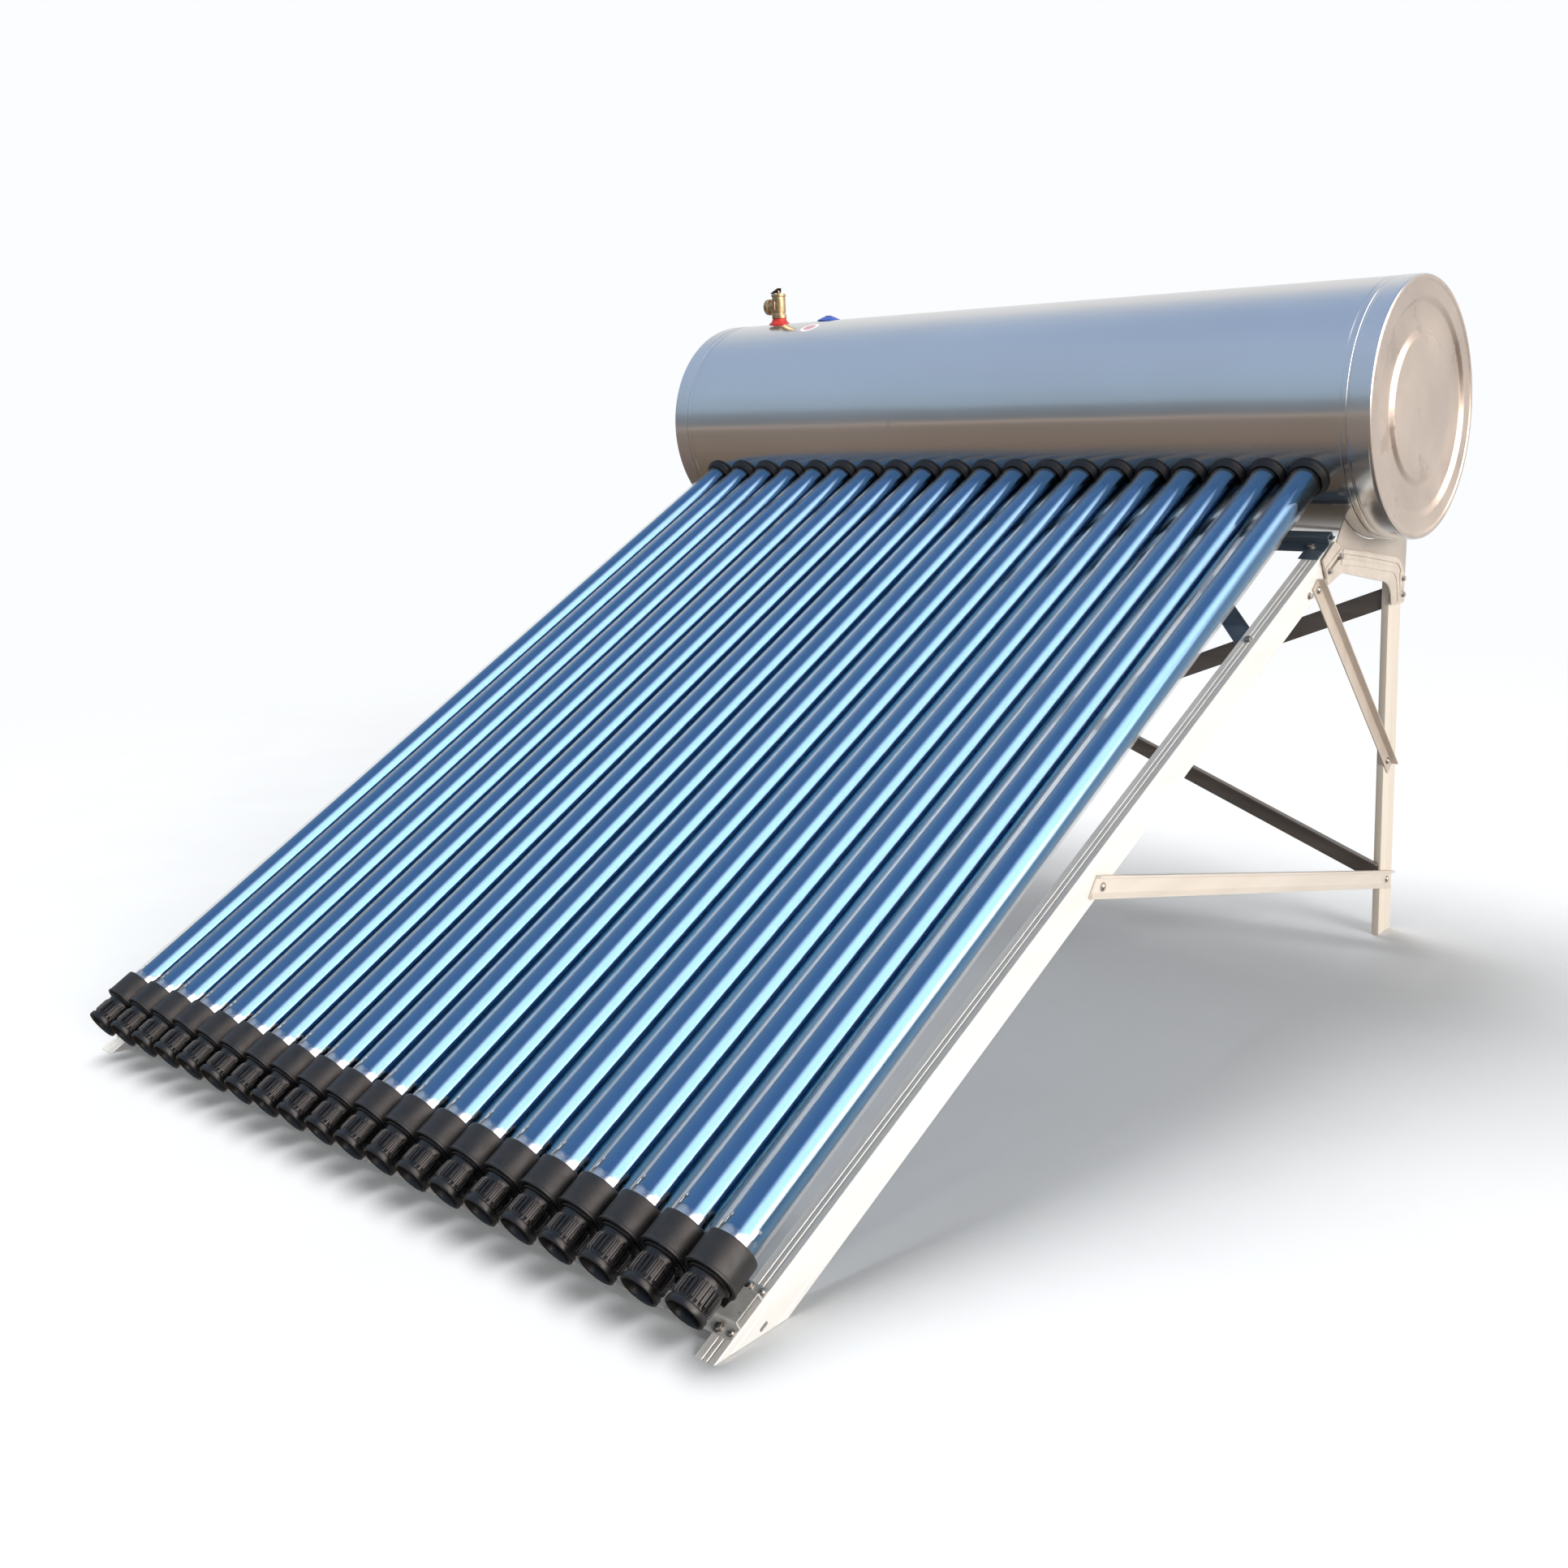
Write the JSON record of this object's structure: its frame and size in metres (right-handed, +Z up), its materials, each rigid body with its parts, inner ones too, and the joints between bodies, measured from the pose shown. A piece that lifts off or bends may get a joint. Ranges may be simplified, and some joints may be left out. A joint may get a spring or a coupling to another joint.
{
  "type": "solar water heater",
  "caption": "Evacuated-tube solar water heater: horizontal insulated tank, a row of sloped glass tubes in screw cups, a bolted aluminium stand and a relief valve.",
  "frame": {"origin": "middle of the footprint at ground level", "axes": "+X along the tank, +Y from the tube ends towards the tank, +Z up"},
  "size_m": [1.663, 1.9646, 1.3079],
  "materials": {
    "tank_steel": "smooth satin to mirror stainless sheet",
    "cap_steel": "satin stainless sheet with a rolled rim",
    "inner_steel": "plain stainless sheet",
    "absorber_glass": "clear outer glass over a dark blue absorber coating, silvered at the lower end",
    "black_plastic": "moulded black plastic",
    "frame_aluminium": "cream anodised extrusion",
    "bracket_aluminium": "bead-blasted casting and sheet",
    "rack_steel": "galvanised folded sheet",
    "dark_steel": "dull grey-brown folded sheet",
    "valve_brass": "cast and turned brass",
    "valve_lever": "dark coated lever"
  },
  "bodies": {
    "heater": {"vacuum_tube_01": "absorber_glass", "vacuum_tube_02": "absorber_glass", "vacuum_tube_03": "absorber_glass", "vacuum_tube_04": "absorber_glass", "vacuum_tube_05": "absorber_glass", "vacuum_tube_06": "absorber_glass", "vacuum_tube_07": "absorber_glass", "vacuum_tube_08": "absorber_glass", "vacuum_tube_09": "absorber_glass", "vacuum_tube_10": "absorber_glass", "vacuum_tube_11": "absorber_glass", "vacuum_tube_12": "absorber_glass", "vacuum_tube_13": "absorber_glass", "vacuum_tube_14": "absorber_glass", "vacuum_tube_15": "absorber_glass", "vacuum_tube_16": "absorber_glass", "vacuum_tube_17": "absorber_glass", "vacuum_tube_18": "absorber_glass", "vacuum_tube_19": "absorber_glass", "vacuum_tube_20": "absorber_glass", "outer_shell": "tank_steel", "inner_tank": "inner_steel", "end_cap_left": "cap_steel", "end_cap_right": "cap_steel", "upper_crossbar": "dark_steel", "tail_rack": "rack_steel", "rear_cross_bar_a": "dark_steel", "rear_cross_bar_b": "dark_steel", "relief_valve_body": "valve_brass", "front_rail_left": "frame_aluminium", "rear_leg_left": "frame_aluminium", "side_brace_left": "frame_aluminium", "side_diagonal_left": "frame_aluminium", "corner_bracket_left": "bracket_aluminium", "front_rail_right": "frame_aluminium", "rear_leg_right": "frame_aluminium", "side_brace_right": "frame_aluminium", "side_diagonal_right": "frame_aluminium", "corner_bracket_right": "bracket_aluminium"},
    "cup_01": {"screw_cup_01": "black_plastic"},
    "cup_02": {"screw_cup_02": "black_plastic"},
    "cup_03": {"screw_cup_03": "black_plastic"},
    "cup_04": {"screw_cup_04": "black_plastic"},
    "cup_05": {"screw_cup_05": "black_plastic"},
    "cup_06": {"screw_cup_06": "black_plastic"},
    "cup_07": {"screw_cup_07": "black_plastic"},
    "cup_08": {"screw_cup_08": "black_plastic"},
    "cup_09": {"screw_cup_09": "black_plastic"},
    "cup_10": {"screw_cup_10": "black_plastic"},
    "cup_11": {"screw_cup_11": "black_plastic"},
    "cup_12": {"screw_cup_12": "black_plastic"},
    "cup_13": {"screw_cup_13": "black_plastic"},
    "cup_14": {"screw_cup_14": "black_plastic"},
    "cup_15": {"screw_cup_15": "black_plastic"},
    "cup_16": {"screw_cup_16": "black_plastic"},
    "cup_17": {"screw_cup_17": "black_plastic"},
    "cup_18": {"screw_cup_18": "black_plastic"},
    "cup_19": {"screw_cup_19": "black_plastic"},
    "cup_20": {"screw_cup_20": "black_plastic"},
    "valve_lever": {"relief_valve_lever": "valve_lever"}
  },
  "joints": [
    {"name": "cup_01_screw", "type": "hinge", "parent": "heater", "child": "cup_01", "pos_m": [-0.7125, -0.94037, 0.07021], "axis": [0, -0.8771, -0.4802], "range_deg": [0, 720]},
    {"name": "cup_02_screw", "type": "hinge", "parent": "heater", "child": "cup_02", "pos_m": [-0.6375, -0.94037, 0.07021], "axis": [0, -0.8771, -0.4802], "range_deg": [0, 720]},
    {"name": "cup_03_screw", "type": "hinge", "parent": "heater", "child": "cup_03", "pos_m": [-0.5625, -0.94037, 0.07021], "axis": [0, -0.8771, -0.4802], "range_deg": [0, 720]},
    {"name": "cup_04_screw", "type": "hinge", "parent": "heater", "child": "cup_04", "pos_m": [-0.4875, -0.94037, 0.07021], "axis": [0, -0.8771, -0.4802], "range_deg": [0, 720]},
    {"name": "cup_05_screw", "type": "hinge", "parent": "heater", "child": "cup_05", "pos_m": [-0.4125, -0.94037, 0.07021], "axis": [0, -0.8771, -0.4802], "range_deg": [0, 720]},
    {"name": "cup_06_screw", "type": "hinge", "parent": "heater", "child": "cup_06", "pos_m": [-0.3375, -0.94037, 0.07021], "axis": [0, -0.8771, -0.4802], "range_deg": [0, 720]},
    {"name": "cup_07_screw", "type": "hinge", "parent": "heater", "child": "cup_07", "pos_m": [-0.2625, -0.94037, 0.07021], "axis": [0, -0.8771, -0.4802], "range_deg": [0, 720]},
    {"name": "cup_08_screw", "type": "hinge", "parent": "heater", "child": "cup_08", "pos_m": [-0.1875, -0.94037, 0.07021], "axis": [0, -0.8771, -0.4802], "range_deg": [0, 720]},
    {"name": "cup_09_screw", "type": "hinge", "parent": "heater", "child": "cup_09", "pos_m": [-0.1125, -0.94037, 0.07021], "axis": [0, -0.8771, -0.4802], "range_deg": [0, 720]},
    {"name": "cup_10_screw", "type": "hinge", "parent": "heater", "child": "cup_10", "pos_m": [-0.0375, -0.94037, 0.07021], "axis": [0, -0.8771, -0.4802], "range_deg": [0, 720]},
    {"name": "cup_11_screw", "type": "hinge", "parent": "heater", "child": "cup_11", "pos_m": [0.0375, -0.94037, 0.07021], "axis": [0, -0.8771, -0.4802], "range_deg": [0, 720]},
    {"name": "cup_12_screw", "type": "hinge", "parent": "heater", "child": "cup_12", "pos_m": [0.1125, -0.94037, 0.07021], "axis": [0, -0.8771, -0.4802], "range_deg": [0, 720]},
    {"name": "cup_13_screw", "type": "hinge", "parent": "heater", "child": "cup_13", "pos_m": [0.1875, -0.94037, 0.07021], "axis": [0, -0.8771, -0.4802], "range_deg": [0, 720]},
    {"name": "cup_14_screw", "type": "hinge", "parent": "heater", "child": "cup_14", "pos_m": [0.2625, -0.94037, 0.07021], "axis": [0, -0.8771, -0.4802], "range_deg": [0, 720]},
    {"name": "cup_15_screw", "type": "hinge", "parent": "heater", "child": "cup_15", "pos_m": [0.3375, -0.94037, 0.07021], "axis": [0, -0.8771, -0.4802], "range_deg": [0, 720]},
    {"name": "cup_16_screw", "type": "hinge", "parent": "heater", "child": "cup_16", "pos_m": [0.4125, -0.94037, 0.07021], "axis": [0, -0.8771, -0.4802], "range_deg": [0, 720]},
    {"name": "cup_17_screw", "type": "hinge", "parent": "heater", "child": "cup_17", "pos_m": [0.4875, -0.94037, 0.07021], "axis": [0, -0.8771, -0.4802], "range_deg": [0, 720]},
    {"name": "cup_18_screw", "type": "hinge", "parent": "heater", "child": "cup_18", "pos_m": [0.5625, -0.94037, 0.07021], "axis": [0, -0.8771, -0.4802], "range_deg": [0, 720]},
    {"name": "cup_19_screw", "type": "hinge", "parent": "heater", "child": "cup_19", "pos_m": [0.6375, -0.94037, 0.07021], "axis": [0, -0.8771, -0.4802], "range_deg": [0, 720]},
    {"name": "cup_20_screw", "type": "hinge", "parent": "heater", "child": "cup_20", "pos_m": [0.7125, -0.94037, 0.07021], "axis": [0, -0.8771, -0.4802], "range_deg": [0, 720]},
    {"name": "valve_lever_lift", "type": "hinge", "parent": "heater", "child": "valve_lever", "pos_m": [-0.7, 0.75428, 1.299], "axis": [0, 1, 0], "range_deg": [0, 75], "stiffness_Nm_per_rad": 0.02}
  ]
}
